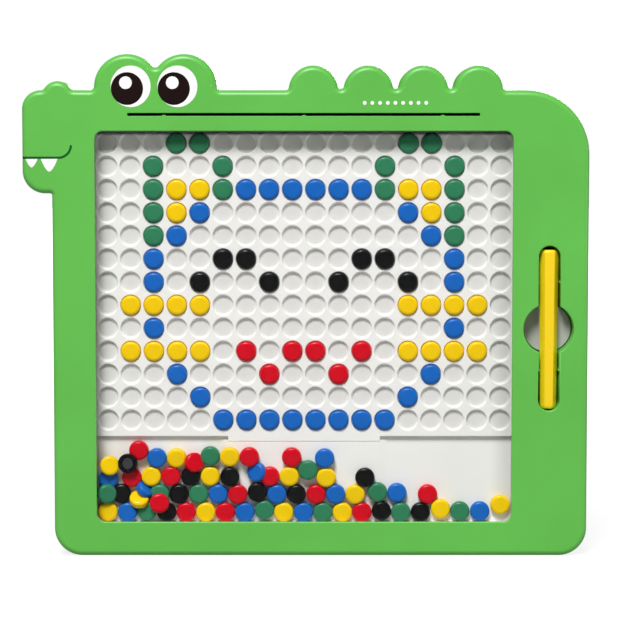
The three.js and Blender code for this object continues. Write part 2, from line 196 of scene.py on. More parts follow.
def shade(colour, factor):
    return tuple(min(1, c * factor) for c in colour[:3]) + (1,)


class Nodes:
    """The nodes of a material or a world, with the few steps that the materials below share."""

    def __init__(self, owner):
        owner.use_nodes = True
        self.tree = owner.node_tree
        self.shader = self.tree.nodes.get("Principled BSDF")

    def add(self, kind):
        return self.tree.nodes.new(f"ShaderNode{kind}")

    def link(self, source, target):
        self.tree.links.new(source, target)

    def noise(self, scale, detail):
        noise = self.add("TexNoise")
        noise.inputs["Scale"].default_value = scale
        noise.inputs["Detail"].default_value = detail
        self.link(self.add("TexCoord").outputs["Object"], noise.inputs["Vector"])
        return noise.outputs["Fac"]

    def map_range(self, value, start=0.0, end=1.0, low=0.0, high=1.0):
        ramp = self.add("MapRange")
        ramp.inputs["From Min"].default_value = start
        ramp.inputs["From Max"].default_value = end
        ramp.inputs["To Min"].default_value = low
        ramp.inputs["To Max"].default_value = high
        self.link(value, ramp.inputs["Value"])
        return ramp

    def tint(self, value, start, dark, end, light):
        """The base colour, from dark to light as value goes from start to end."""
        tint = self.add("ValToRGB")
        for element, place, colour in zip(tint.color_ramp.elements, (start, end), (dark, light)):
            element.position = place
            element.color = colour
        self.link(value, tint.inputs["Fac"])
        self.link(tint.outputs["Color"], self.shader.inputs["Base Color"])

    def gloss(self, value, lowest, roughness, spread):
        ramp = self.map_range(value, low=max(lowest, roughness - spread), high=roughness + spread)
        self.link(ramp.outputs["Result"], self.shader.inputs["Roughness"])

    def bump(self, height, strength, distance):
        bump = self.add("Bump")
        bump.inputs["Strength"].default_value = strength
        bump.inputs["Distance"].default_value = distance
        self.link(height, bump.inputs["Height"])
        self.link(bump.outputs["Normal"], self.shader.inputs["Normal"])

    def mix_shaders(self, factor, first, second, output="Material Output"):
        mix = self.add("MixShader")
        self.link(factor, mix.inputs["Fac"])
        self.link(first, mix.inputs[1])
        self.link(second, mix.inputs[2])
        self.link(mix.outputs["Shader"], self.tree.nodes[output].inputs["Surface"])


def plastic(name, colour, roughness, grain=900, grain_depth=0.02, variation=0.05, ior=1.5):
    """Moulded plastic: faint flow marks in the colour, uneven gloss and a fine mould grain."""
    material = bpy.data.materials.new(name)
    nodes = Nodes(material)
    nodes.shader.inputs["IOR"].default_value = ior
    dark, light = shade(colour, 1 - variation), shade(colour, 1 + variation)
    nodes.tint(nodes.noise(18, 3), 0.3, dark, 0.7, light)
    nodes.gloss(nodes.noise(70, 4), 0.02, roughness, 0.06)
    nodes.bump(nodes.noise(grain, 2), grain_depth * 10, 0.02 * MM)
    return material


def paint_shade_ramps(material, ramps):
    """Paints shade into a plastic's colour: ramps of (axis, from, to, share, gate) along the
    object's axes darken it where shade falls.

    A ramp goes from no change at one coordinate in millimetres to share of the colour at the other.
    Its gate is the height it works above.
    """
    nodes = Nodes(material)
    base = nodes.shader.inputs["Base Color"]
    axes = nodes.add("SeparateXYZ")
    nodes.link(nodes.add("TexCoord").outputs["Object"], axes.inputs["Vector"])
    for axis, start, end, share, gate in ramps:
        low, high = sorted((start, end))
        shares = (1.0, share) if start < end else (share, 1.0)
        ramp = nodes.map_range(axes.outputs[axis], low * MM, high * MM, *shares)
        ramp.interpolation_type = "SMOOTHSTEP"
        above = nodes.map_range(axes.outputs["Z"], (gate - 0.5) * MM, gate * MM)
        gated = nodes.add("Mix")
        gated.inputs["A"].default_value = 1.0
        nodes.link(above.outputs["Result"], gated.inputs["Factor"])
        nodes.link(ramp.outputs["Result"], gated.inputs["B"])
        scale = nodes.add("VectorMath")
        scale.operation = "SCALE"
        nodes.link(base.links[0].from_socket, scale.inputs[0])
        nodes.link(gated.outputs["Result"], scale.inputs["Scale"])
        nodes.link(scale.outputs["Vector"], base)


def metal(name, colour, roughness):
    """Plated or plain steel with turning marks and uneven polish."""
    material = bpy.data.materials.new(name)
    nodes = Nodes(material)
    nodes.shader.inputs["Metallic"].default_value = 1.0
    nodes.tint(nodes.noise(400, 3), 0.0, shade(colour, 0.8), 1.0, shade(colour, 1.15))
    polish = nodes.noise(300, 4)
    nodes.gloss(polish, 0.05, roughness, 0.1)
    nodes.bump(polish, 0.15, 0.03 * MM)
    return material


def clear_sheet(name):
    """Clear polystyrene: see-through, with a faint reflection that grows at grazing angles.

    It reflects on its front side only, or its back would turn black when it is seen from above.
    """
    material = bpy.data.materials.new(name)
    nodes = Nodes(material)
    nodes.tree.nodes.remove(nodes.shader)
    through = nodes.add("BsdfTransparent")
    through.inputs["Color"].default_value = (0.985, 0.99, 0.99, 1)
    gloss = nodes.add("BsdfGlossy")
    haze = nodes.map_range(nodes.noise(25, 4), low=0.03, high=0.12)
    nodes.link(haze.outputs["Result"], gloss.inputs["Roughness"])
    fresnel = nodes.add("Fresnel")
    fresnel.inputs["IOR"].default_value = 1.12
    front_only = nodes.add("Math")
    front_only.operation = "SUBTRACT"
    front_only.use_clamp = True
    nodes.link(fresnel.outputs["Fac"], front_only.inputs[0])
    nodes.link(nodes.add("NewGeometry").outputs["Backfacing"], front_only.inputs[1])
    nodes.mix_shaders(front_only.outputs["Value"], through.outputs["BSDF"], gloss.outputs["BSDF"])
    return material


GREEN = plastic("green_abs", srgb(98, 190, 76), 0.38)
WHITE_TRAY = plastic("white_tray", srgb(247, 244, 240), 0.42, variation=0.012)
# Painted shade on the tray: darker towards the window's left and right edges, a painted shadow
# under the window's top edge, and darker pit floors behind the panel's face above its lower edge.
paint_shade_ramps(WHITE_TRAY, [
    ("X", WINDOW["left"] + 9, WINDOW["left"] - 1, 0.58, 0),
    ("X", WINDOW["right"] - 11, WINDOW["right"] + 1, 0.7, 0),
    ("Z", WINDOW["top"] - 2.4, WINDOW["top"] - 0.9, 0.1, 0),
    ("Y", FACE_Y + PANEL_FACE + 0.9, FACE_Y + PANEL_FACE + 1.5, 0.83, PANEL_BOTTOM),
])
WHITE_COVER = plastic("white_cover", srgb(178, 174, 174), 0.55, 1500, 0.06, 0.02)
YELLOW_PEN = plastic("yellow_pen", srgb(255, 216, 24), 0.28, variation=0.01)
PRINT_WHITE = plastic("print_white", srgb(254, 254, 253), 0.45, variation=0.004)
PRINT_BLACK = plastic("print_black", srgb(26, 8, 9), 0.6, variation=0.1, ior=1.2)
PRINT_GREEN = plastic("print_dark_green", srgb(0, 92, 30), 0.6, variation=0.06, ior=1.25)
STEEL = metal("core_steel", srgb(88, 88, 90), 0.5)
ZINC = metal("screw_zinc", srgb(196, 197, 200), 0.3)
PANE_CLEAR = clear_sheet("clear_pane")
BEAD_MATERIALS = {
    "r": plastic("bead_red", srgb(216, 2, 30), 0.3, 500, 0.03, 0.04, 1.32),
    "y": plastic("bead_yellow", srgb(250, 205, 2), 0.3, 500, 0.03, 0.03, 1.32),
    "g": plastic("bead_green", srgb(50, 128, 90), 0.3, 500, 0.03, 0.05, 1.32),
    "b": plastic("bead_blue", srgb(22, 102, 192), 0.3, 500, 0.03, 0.05, 1.32),
    "k": plastic("bead_black", srgb(12, 12, 13), 0.3, 500, 0.03, 0.1, 1.32),
}
BEAD_NAMES = {"r": "red", "y": "yellow", "g": "green", "b": "blue", "k": "black"}


# ---- outlines

class Loop:
    """A closed outline as points with normals; a hole's normals point into the hole."""

    def __init__(self, points):
        self.points = points

    def as_hole(self):
        return Loop([(x, z, -nx, -nz) for x, z, nx, nz in self.points])


def arc(x, z, r, start, end, sense=1, step=ARC_STEP):
    """Points on an arc in radians. Sense 1 bulges out of the material, and -1 into it."""
    count = max(2, math.ceil(abs(end - start) / step))
    points = []
    for i in range(count + 1):
        angle = start + (end - start) * i / count
        c, s = math.cos(angle), math.sin(angle)
        points.append((x + r * c, z + r * s, sense * c, sense * s))
    return points


def bearing(a, b):
    return math.atan2(b[1] - a[1], b[0] - a[0])


def valley_fillet(right, left, r):
    """Centre of a fillet in the valley between two bumps, each (x, z, radius)."""
    dx, dz = left[0] - right[0], left[1] - right[1]
    span = math.hypot(dx, dz)
    to_right, to_left = right[2] + r, left[2] + r
    along = (span ** 2 + to_right ** 2 - to_left ** 2) / (2 * span)
    up = math.sqrt(to_right ** 2 - along ** 2)
    ux, uz = dx / span, dz / span
    return (right[0] + along * ux + up * uz, right[1] + along * uz - up * ux, r)


def line_fillet(bump, line_z, r, side):
    """Centre of a fillet where a bump meets a level line, on its right (1) or left (-1)."""
    z = line_z + r
    return (bump[0] + side * math.sqrt((bump[2] + r) ** 2 - (z - bump[1]) ** 2), z, r)


def bump_row(bumps, right_z, left_z, end_r, valley_r):
    """Points over a row of bumps from right to left, between the level lines at its ends."""
    last = len(bumps) - 1
    fillets = [line_fillet(bumps[0], right_z, end_r, 1)]
    fillets += [valley_fillet(bumps[i], bumps[i + 1], valley_r) for i in range(last)]
    fillets.append(line_fillet(bumps[last], left_z, end_r, -1))

    def concave(f, start, end):
        return arc(*f, start, end - FULL_TURN if end > start else end, -1)

    points = concave(fillets[0], -QUARTER, bearing(fillets[0], bumps[0]))
    for i, bump in enumerate(bumps):
        start, end = bearing(bump, fillets[i]), bearing(bump, fillets[i + 1])
        points += arc(*bump, start, end + FULL_TURN if end < start else end)
        after = -QUARTER if i == last else bearing(fillets[i + 1], bumps[i + 1])
        points += concave(fillets[i + 1], bearing(fillets[i + 1], bump), after)
    return points


def corner(x, z, r, quarter, step=ARC_STEP):
    return arc(x, z, r, quarter * QUARTER, (quarter + 1) * QUARTER, 1, step)


def body_loop():
    """The crocodile outline, anticlockwise from the lower left corner."""
    right = HALF_WIDTH
    points = corner(BODY_LEFT + BASE_CORNER_R, BASE_CORNER_R, BASE_CORNER_R, 2)
    points += corner(right - BASE_CORNER_R, BASE_CORNER_R, BASE_CORNER_R, 3)
    points += corner(right - BACK_CORNER_R, TOP_Z - BACK_CORNER_R, BACK_CORNER_R, 0)
    points += bump_row(SPINE, TOP_Z, TOP_Z, SPINE_FILLET_R, SPINE_FILLET_R)
    points += bump_row([RIGHT_EYE, LEFT_EYE], TOP_Z, TOP_Z, EYE_VALLEY_R, EYE_VALLEY_R)
    points += bump_row([NOSTRIL], TOP_Z, TOP_Z, NOSTRIL_FILLET_R, NOSTRIL_FILLET_R)
    points += corner(BROW_CORNER_R - right, TOP_Z - BROW_CORNER_R, BROW_CORNER_R, 1)
    points += corner(CHIN_CORNER_R - right, SNOUT_BOTTOM_Z + CHIN_CORNER_R, CHIN_CORNER_R, 2)
    points += arc(BODY_LEFT - THROAT_R, SNOUT_BOTTOM_Z - THROAT_R, THROAT_R, QUARTER, 0, -1)
    return Loop(points)


def rounded_rectangle(left, right, bottom, top, r, step=math.radians(9)):
    points = []
    for x, z, quarter in ((left + r, bottom + r, 2), (right - r, bottom + r, 3),
                          (right - r, top - r, 0), (left + r, top - r, 1)):
        points += corner(x, z, r, quarter, step)
    return Loop(points)


def window_loop(margin):
    return rounded_rectangle(
        WINDOW["left"] - margin, WINDOW["right"] + margin,
        WINDOW["bottom"] - margin, WINDOW["top"] + margin, WINDOW_R + margin,
    )


def ellipse(x, z, half_width, half_height, count=72):
    points = []
    for i in range(count):
        angle = FULL_TURN * i / count
        c, s = math.cos(angle), math.sin(angle)
        nx, nz = c / half_width, s / half_height
        length = math.hypot(nx, nz)
        points.append((x + half_width * c, z + half_height * s, nx / length, nz / length))
    return Loop(points)


# ---- closed surfaces

class Surface:
    """Vertices with their normals, and faces, of closed surfaces in millimetres."""

    def __init__(self):
        self.vertices, self.normals, self.faces = [], [], []

    def vertex(self, x, depth, z, normal):
        self.vertices.append((x, depth + FACE_Y, z))
        self.normals.append(normal)
        return len(self.vertices) - 1

    def ring(self, loop, inset, depth, tilt):
        """The loop moved into the material by inset, its normals tilted: see FRONT and its like."""
        c, s = math.cos(math.radians(tilt)), math.sin(math.radians(tilt))
        return [
            self.vertex(x - inset * nx, depth, z - inset * nz, (c * nx, -s, c * nz))
            for x, z, nx, nz in loop.points
        ]

    def rings(self, loop, profile):
        """Joins rings along a profile of (inset, depth, tilt); returns the first and the last."""
        made = [self.ring(loop, *step) for step in profile]
        for a, b in zip(made, made[1:]):
            self.bridge(a, b)
        return made[0], made[-1]

    def bridge(self, a, b):
        count = len(a)
        for i in range(count):
            j = (i + 1) % count
            self.faces.append((a[i], b[i], b[j], a[j]))

    def cap(self, *loops):
        """Fills between an outer loop and any holes, all at one depth, using their own vertices."""
        indices = [i for loop in loops for i in loop]
        points = [Vector((self.vertices[i][0], self.vertices[i][2])) for i in indices]
        outlines, first = [], 0
        for loop in loops:
            outlines.append(list(range(first, first + len(loop))))
            first += len(loop)
        _, _, faces, origins, _, _ = delaunay_2d_cdt(points, [], outlines, 2, 1e-5)
        for face in faces:
            self.faces.append(tuple(indices[origins[v][0]] for v in face))

    def lathe(self, x, z, profile, count):
        """Turns a profile of (radius, depth, tilt) about a front-to-back axis at (x, z)."""
        rings = []
        for radius, depth, tilt in profile:
            c, s = math.cos(math.radians(tilt)), math.sin(math.radians(tilt))
            if radius == 0:
                rings.append([self.vertex(x, depth, z, (0, -s, 0))])
                continue
            ring = []
            for i in range(count):
                angle = FULL_TURN * i / count
                ca, sa = math.cos(angle), math.sin(angle)
                ring.append(self.vertex(x + radius * ca, depth, z + radius * sa,
                                        (c * ca, -s, c * sa)))
            rings.append(ring)
        for a, b in zip(rings, rings[1:]):
            if len(a) == 1 or len(b) == 1:
                pole, ring = (a[0], b) if len(a) == 1 else (b[0], a)
                self.faces += [(pole, ring[i], ring[(i + 1) % count]) for i in range(count)]
            else:
                self.bridge(a, b)
        return rings[0], rings[-1]

    def plate(self, loop, front, back, edge):
        """A plate with a rounded front edge and a rounded back edge."""
        first, last = self.rings(loop, rounded_profile(front, back, edge, edge))
        self.cap(first)
        self.cap(last)

    def build(self, name, material):
        """The mesh object, in metres, with the exact normals that its rings were made with."""
        mesh = closed_mesh(name, self.vertices, self.faces, material)
        mesh.normals_split_custom_set_from_vertices(self.normals)
        return add_object(name, mesh)


def closed_mesh(name, points, faces, material):
    """A smooth mesh in metres from points in millimetres, its faces turned outwards."""
    mesh = bpy.data.meshes.new(name)
    mesh.from_pydata([Vector(point) * MM for point in points], [], faces)
    shell = bmesh.new()
    shell.from_mesh(mesh)
    bmesh.ops.recalc_face_normals(shell, faces=shell.faces)
    shell.to_mesh(mesh)
    shell.free()
    mesh.shade_smooth()
    mesh.materials.append(material)
    return mesh


def add_object(name, data):
    obj = bpy.data.objects.new(name, data)
    bpy.context.scene.collection.objects.link(obj)
    return obj


def rounding(radius, depth, start, end, steps=5):
    """A rounded edge's profile where the surface turns from tilt start to tilt end, in degrees.

    The profile turns about a centre that is radius inside the material and radius behind depth.
    """
    profile = []
    for i in range(steps + 1):
        tilt = start + (end - start) * i / steps
        c, s = math.cos(math.radians(tilt)), math.sin(math.radians(tilt))
        profile.append((radius * (1 - c), depth + radius * (1 - s), tilt))
    return profile


def rounded_profile(front, back, front_r, back_r, steps=5):
    """A plate's edge from its front face, round, across and round to its back face."""
    front_edge = rounding(front_r, front, FRONT, OUTWARD, steps)
    back_edge = rounding(back_r, back - 2 * back_r, OUTWARD, BACK, steps)
    return front_edge + back_edge


def finish_piece(obj, body, slot, *nodes):
    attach(obj, body)
    if nodes:
        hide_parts(*nodes)
    return obj


# ---- front housing

GRIP_STEP = math.radians(5)


def grip_loop(margin):
    """The opening of pen trough and finger hole together, grown by margin, anticlockwise.

    Also returns how many points its arcs have, at the hole's right, the trough's top, the hole's
    left and the trough's bottom, and the angles where the hole's right and left arcs end.
    """
    half = TROUGH_HALF_WIDTH + margin
    radius = FINGER_R + margin
    offset = PEN.x - FINGER_X
    right_angle = math.acos((offset + half) / radius)
    left_angle = math.acos((offset - half) / radius)
    top = TROUGH_TOP + margin - half
    bottom = TROUGH_BOTTOM - margin + half
    arcs = [
        arc(FINGER_X, FINGER_Z, radius, -right_angle, right_angle, 1, GRIP_STEP),
        arc(PEN.x, top, half, 0, math.pi, 1, GRIP_STEP),
        arc(FINGER_X, FINGER_Z, radius, left_angle, FULL_TURN - left_angle, 1, GRIP_STEP),
        arc(PEN.x, bottom, half, math.pi, FULL_TURN, 1, GRIP_STEP),
    ]
    return Loop(sum(arcs, [])).as_hole(), [len(points) for points in arcs], right_angle, left_angle


def grip_recess(surface, margin, front_profile, floor_depth, tube_depth):
    """The walls and floor of the trough, and the finger tube that goes on behind its floor.

    Returns the ring at the face it starts from, and the ring at the tube's far end.
    """
    loop, sizes, right_angle, left_angle = grip_loop(margin)
    first, at_floor = surface.rings(loop, front_profile + [(0, floor_depth, OUTWARD)])
    radius = FINGER_R + margin
    parts, begin = [], 0
    for size in sizes:
        parts.append(at_floor[begin:begin + size])
        begin += size
    right_part, top_part, left_part, bottom_part = parts

    def across(start, end):
        points = arc(FINGER_X, FINGER_Z, radius, start, end, -1, GRIP_STEP)[1:-1]
        return [surface.vertex(x, floor_depth, z, (nx, 0, nz)) for x, z, nx, nz in points]

    upper = across(right_angle, left_angle)
    lower = across(FULL_TURN - left_angle, FULL_TURN - right_angle)
    circle = right_part + upper + left_part + lower
    surface.cap([right_part[-1]] + top_part + [left_part[0]] + upper[::-1])
    surface.cap([left_part[-1]] + bottom_part + [right_part[0]] + lower[::-1])
    deep = []
    for i in circle:
        x, _, z = surface.vertices[i]
        inward = ((FINGER_X - x) / radius, 0, (FINGER_Z - z) / radius)
        deep.append(surface.vertex(x, tube_depth, z, inward))
    surface.bridge(circle, deep)
    return first, deep


def clip_ribs(surface):
    """Low pads that narrow the trough's waist, and the two pairs of ribs that hold the pen."""
    taper = (PEN.width / 2 - PEN_TIP_R) / PEN.height
    low, half, edge = CLIP_LEVELS[0], 0.5, 0.2
    grips = [(TROUGH_WAIST, low + half, low + PAD_REACH, 0.6)]
    for level in CLIP_LEVELS:
        pen_r = PEN_TIP_R + taper * (level - PEN.bottom)
        grips.append((pen_r + RIB_GAP, level - half, level + half, 0.9))
    outer = TROUGH_HALF_WIDTH + 0.6
    for reach, bottom, top, front in grips:
        for side in (-1, 1):
            left, right = sorted((PEN.x + side * reach, PEN.x + side * outer))
            loop = rounded_rectangle(left, right, bottom, top, edge, math.radians(30))
            surface.plate(loop, front, TROUGH_BACK + 0.4, edge)


def slot_bumps(surface):
    """Three low bumps on the card slot's lower edge."""
    half_width, sunk, height = 0.9, 0.3, 0.45
    bottom = SLOT_Z - SLOT_HALF_HEIGHT
    for x in SLOT_BUMPS:
        loop = rounded_rectangle(
            x - half_width, x + half_width, bottom - sunk, bottom + height, 0.3, math.radians(20),
        )
        surface.plate(loop, -0.04, 1.6, 0.2)


def front_housing():
    surface = Surface()
    body = body_loop()
    outer_profile = rounding(EDGE_R, 0, FRONT, OUTWARD, 10)
    outer_profile += rounding(BACK_EDGE_R, THICKNESS - 2 * BACK_EDGE_R, OUTWARD, BACK, 4)
    outer_profile += [
        (WALL - RIM_EDGE_R, THICKNESS, BACK),
        (WALL, THICKNESS - RIM_EDGE_R, INWARD),
        (WALL, PLATE + RIM_EDGE_R, INWARD),
        (WALL + RIM_EDGE_R, PLATE, BACK),
    ]
    face, inside = surface.rings(body, outer_profile)

    lip = rounding(LIP_R, 0, FRONT, OUTWARD)
    window_face, window_back = surface.rings(
        window_loop(0).as_hole(), lip + [(0, PLATE - 0.2, OUTWARD), (0.2, PLATE, BACK)],
    )

    slot = rounded_rectangle(
        SLOT_X - SLOT_HALF_LENGTH, SLOT_X + SLOT_HALF_LENGTH,
        SLOT_Z - SLOT_HALF_HEIGHT, SLOT_Z + SLOT_HALF_HEIGHT, 0.3, math.radians(30),
    ).as_hole()
    slot_face, slot_floor = surface.rings(
        slot, rounding(0.25, 0, FRONT, OUTWARD, 3) + [(0, SLOT_BACK, OUTWARD)],
    )
    surface.cap(slot_floor)
    pocket_root, pocket_end = surface.rings(
        slot, [(POCKET_WALL, PLATE, INWARD), (POCKET_WALL, SLOT_BACK + POCKET_WALL, INWARD)],
    )
    surface.cap(pocket_end)

    grip_face, tube_end = grip_recess(
        surface, 0, rounding(TROUGH_LIP_R, 0, FRONT, OUTWARD), TROUGH_BACK, FINGER_BACK,
    )
    grip_back, tube_outer_end = grip_recess(
        surface, TROUGH_WALL, [(0, PLATE, INWARD)], TROUGH_BACK + TROUGH_WALL, FINGER_BACK,
    )
    surface.cap(tube_outer_end, tube_end)

    surface.cap(face, window_face, slot_face, grip_face)
    surface.cap(inside, window_back, pocket_root, grip_back)

    clip_ribs(surface)
    slot_bumps(surface)
    obj = surface.build("crocodile_front_housing", GREEN)
    return finish_piece(obj, "root", "green_shell", "front_housing")


# ---- print on the front face

def edge_depth(x):
    """Depth of the housing's surface at x, beside the straight upright stretch of the snout."""
    inset = x + HALF_WIDTH
    if inset >= EDGE_R:
        return 0.0
    return EDGE_R - math.sqrt(max(0.0, EDGE_R ** 2 - (EDGE_R - inset) ** 2))


def printed_disc(name, material, x, z, half_width, half_height, proud):
    surface = Surface()
    surface.plate(ellipse(x, z, half_width, half_height), -proud, 0.15, 0.02)
    finish_piece(surface.build(name, material), "root", None)


def printed_patch(name, material, rows, columns, place):
    """A thin patch of ink; place(u, v) gives x and z for u and v from 0 to 1."""
    surface = Surface()
    proud, sunk = 0.04, 0.12
    sheets = []
    for lift, sign in ((-proud, 1), (sunk, -1)):
        sheet = []
        for j in range(rows + 1):
            line = []
            for i in range(columns + 1):
                x, z = place(i / columns, j / rows)
                slope = min(1.0, (x + HALF_WIDTH) / EDGE_R)
                out = math.sqrt(max(0.0, 1 - slope ** 2))
                depth = edge_depth(x) + lift * slope
                normal = (-out * sign, -slope * sign, 0)
                line.append(surface.vertex(x + lift * out, depth, z, normal))
            sheet.append(line)
        sheets.append(sheet)
    front, back = sheets
    for j in range(rows):
        for i in range(columns):
            for sheet in sheets:
                surface.faces.append((sheet[j][i], sheet[j][i + 1],
                                      sheet[j + 1][i + 1], sheet[j + 1][i]))

    def border(sheet):
        line = [sheet[0][i] for i in range(columns + 1)]
        line += [sheet[j][columns] for j in range(1, rows + 1)]
        line += [sheet[rows][i] for i in range(columns - 1, -1, -1)]
        line += [sheet[j][0] for j in range(rows - 1, 0, -1)]
        return line

    surface.bridge(border(front), border(back))
    finish_piece(surface.build(name, material), "root", None)


def eyes():
    """Two printed eyes that look down to the left, one on each brow."""
    level = 225.1
    for side, x in (("left", -83.2), ("right", -61.0)):
        for part, ink, across, up, half_width, half_height, proud in (
            ("white", PRINT_WHITE, 0, 0, 9.5, 9.8, 0.03),
            ("pupil", PRINT_BLACK, -1.7, -1.05, 7.65, 7.75, 0.06),
            ("glint", PRINT_WHITE, -2.4, 1.75, 3.0, 3.0, 0.09),
        ):
            name = f"eye_{part}_{side}"
            printed_disc(name, ink, x + across, level + up, half_width, half_height, proud)


def mouth():
    """The mouth line, from the snout's edge to an upturned corner, and two teeth under it."""
    level, turn_x, turn_r, half, end_gap = 191.3, -117.8, 6.1, 0.55, 0.25
    straight = turn_x + HALF_WIDTH - end_gap
    length = straight + turn_r * QUARTER

    def centre(distance):
        if distance <= straight:
            return -HALF_WIDTH + end_gap + distance, level, 0.0
        angle = (distance - straight) / turn_r
        return turn_x + turn_r * math.sin(angle), level + turn_r * (1 - math.cos(angle)), angle

    def line(u, v):
        x, z, angle = centre(length * u)
        end = min(1.0, (length * (1 - u)) / half)
        reach = half * math.sqrt(max(0.0, 1 - (1 - end) ** 2)) if end < 1 else half
        across = (2 * v - 1) * max(reach, 0.03)
        return x - across * math.sin(angle), z + across * math.cos(angle)

    printed_patch("mouth_line", PRINT_GREEN, 2, 90, line)

    def tooth(left, right, tip):
        top = level - 0.5
        middle, half_width = (left + right) / 2, (right - left) / 2

        def place(u, v):
            width = half_width * max(0.02, (1 - v) ** 0.6)
            return middle + (2 * u - 1) * width, top + (tip - top) * v

        return place

    printed_patch("tooth_front", PRINT_WHITE, 20, 14, tooth(-133.4, -127.6, 186.7))
    printed_patch("tooth_back", PRINT_WHITE, 20, 14, tooth(-126.1, -118.1, 184.7))


def dots():
    """A short row of plain printed dots over the card slot."""
    count, first, last = 9, 27.9, 57.1
    for i in range(count):
        x = first + (last - first) * i / (count - 1)
        printed_disc(f"printed_dot_{i + 1}", PRINT_WHITE, x, 217.3, 0.9, 0.9, 0.03)


# ---- pane and tray

def window_pane():
    surface = Surface()
    loop = rounded_rectangle(PANE.left, PANE.right, PANE.bottom, PANE.top, WINDOW_R + PANE_OVERLAP)
    surface.plate(loop, depth_of(PANE.front), depth_of(PANE.back), 0.15)
    obj = surface.build("clear_window_pane", PANE_CLEAR)
    return finish_piece(obj, "root", "clear_pane", "window_pane")


def pit_centre(column, row):
    return FIRST_PIT_X + column * PITCH, FIRST_PIT_Z - row * PITCH


def pit_profile():
    """A pit from its rounded rim down a dished wall to its floor."""
    rim_r, foot_r, steps = 0.45, 1.15, 4
    floor = PANEL_FACE + PIT_DEPTH
    profile = []
    for radius, start, end, face in ((rim_r, 90, 0, PANEL_FACE), (-foot_r, 0, 90, floor)):
        for i in range(steps + 1):
            tilt = start + (end - start) * i / steps
            c, s = math.cos(math.radians(tilt)), math.sin(math.radians(tilt))
            profile.append((PIT_R + radius * (1 - c), face + radius * (1 - s), 180 - tilt))
    profile.append((PIT_R * 0.4, floor + 0.04, FRONT))
    profile.append((0, floor + 0.05, FRONT))
    return profile


def tray_panel(surface):
    """The panel with its grid of round pits and the short tongue of its lower edge."""
    hidden = 1.5
    left, right = WINDOW["left"] - hidden, WINDOW["right"] + hidden
    top, r, bend = WINDOW["top"] + hidden, 4.0, 0.6
    step = math.radians(15)
    points = corner(left + bend, PANEL_BOTTOM + bend, bend, 2, step)
    points += arc(RAMP_LEFT - bend, PANEL_BOTTOM - bend, bend, QUARTER, 0, -1, step)
    points += corner(RAMP_LEFT + bend, RAMP_TOP + bend, bend, 2, step)
    points += corner(RAMP_RIGHT - bend, RAMP_TOP + bend, bend, 3, step)
    points += arc(RAMP_RIGHT + bend, PANEL_BOTTOM - bend, bend, math.pi, QUARTER, -1, step)
    points += corner(right - bend, PANEL_BOTTOM + bend, bend, 3, step)
    points += corner(right - r, top - r, r, 0, step)
    points += corner(left + r, top - r, r, 1, step)
    face, back = surface.rings(Loop(points), rounded_profile(PANEL_FACE, PANEL_BACK, 0.35, 0.35))
    surface.cap(back)
    rims = []
    for row in range(ROWS):
        for column in range(COLUMNS):
            rim, _ = surface.lathe(*pit_centre(column, row), pit_profile(), 28)
            rims.append(rim)
    surface.cap(face, *rims)


def tray_rim(surface):
    """The tray's upright rim, from the pane to the back."""
    inner = rounded_rectangle(**CHAMBER, r=CHAMBER_R)
    outer = window_loop(PANE_OVERLAP)
    front, back = depth_of(TRAY.front), depth_of(TRAY.back)
    inner_front, inner_back = surface.rings(
        inner.as_hole(), rounding(0.5, front, FRONT, OUTWARD) + [(0, back, OUTWARD)],
    )
    outer_front, outer_back = surface.rings(outer, [(0, front, OUTWARD), (0, back, OUTWARD)])
    surface.cap(outer_front, inner_front)
    surface.cap(outer_back, inner_back)


def tray_well(surface):
    """The storage well's floor and the slope that leads up from it to the tongue."""
    hidden = 1.0
    loop = rounded_rectangle(CHAMBER["left"] - hidden, CHAMBER["right"] + hidden,
                             CHAMBER["bottom"] - hidden, PANEL_BOTTOM + 1.2, 1.0)
    surface.plate(loop, WELL_FLOOR, depth_of(TRAY.back), 0.3)

    def slope(left, right, top, rise, front, flare):
        """A wedge from the well's floor up to the depth front at the height top, its sides flared.

        Its normals are the floor's own, so no crease shows where it starts.
        """
        sunk, back = WELL_FLOOR + 0.1, WELL_FLOOR + 1
        foot = top - (sunk - front) / rise
        sections = []
        for top_x, foot_x, depth in ((left - flare, left - 0.5, sunk), (left, left, front),
                                     (right, right, front), (right + flare, right + 0.5, sunk)):
            sections.append([
                surface.vertex(top_x, depth, top, (0, -1, 0)),
                surface.vertex(foot_x, sunk, foot, (0, -1, 0)),
                surface.vertex(foot_x, back, foot, (0, 1, 0)),
                surface.vertex(top_x, back, top, (0, 1, 0)),
            ])
        for one, other in zip(sections, sections[1:]):
            surface.bridge(one, other)
        surface.faces += [tuple(sections[0]), tuple(sections[-1])]

    slope(
        CHAMBER["left"] - hidden, CHAMBER["right"] + hidden, PANEL_BOTTOM + 1, WELL_SLOPE,
        WELL_TOP - WELL_SLOPE, flare=0.6,
    )
    slope(
        RAMP_LEFT + 0.3, RAMP_RIGHT - 0.3, RAMP_TOP + 0.8, RAMP_SLOPE, PANEL_FACE + 0.12, flare=7,
    )


def bead_tray():
    surface = Surface()
    tray_panel(surface)
    tray_rim(surface)
    tray_well(surface)
    obj = surface.build("white_bead_tray", WHITE_TRAY)
    return finish_piece(obj, "root", "white_tray", "bead_tray")


# ---- rear cover and screws

def screw_boxes():
    names = sorted(name for name in frame["nodes"] if name.startswith("cover_screw_"))
    return {name: Box(name) for name in names}


def recess_profile(radius, back, floor, mouth, foot):
    """A round recess from the cover's back to its floor, chamfered by mouth and by foot."""
    bend = 0.3 * mouth
    return [
        (radius + mouth, back, BACK),
        (radius + bend, back - bend, BACK - 45),
        (radius, back - mouth, INWARD),
        (radius, floor + foot, INWARD),
        (radius - foot, floor, BACK),
        (0, floor, BACK),
    ]


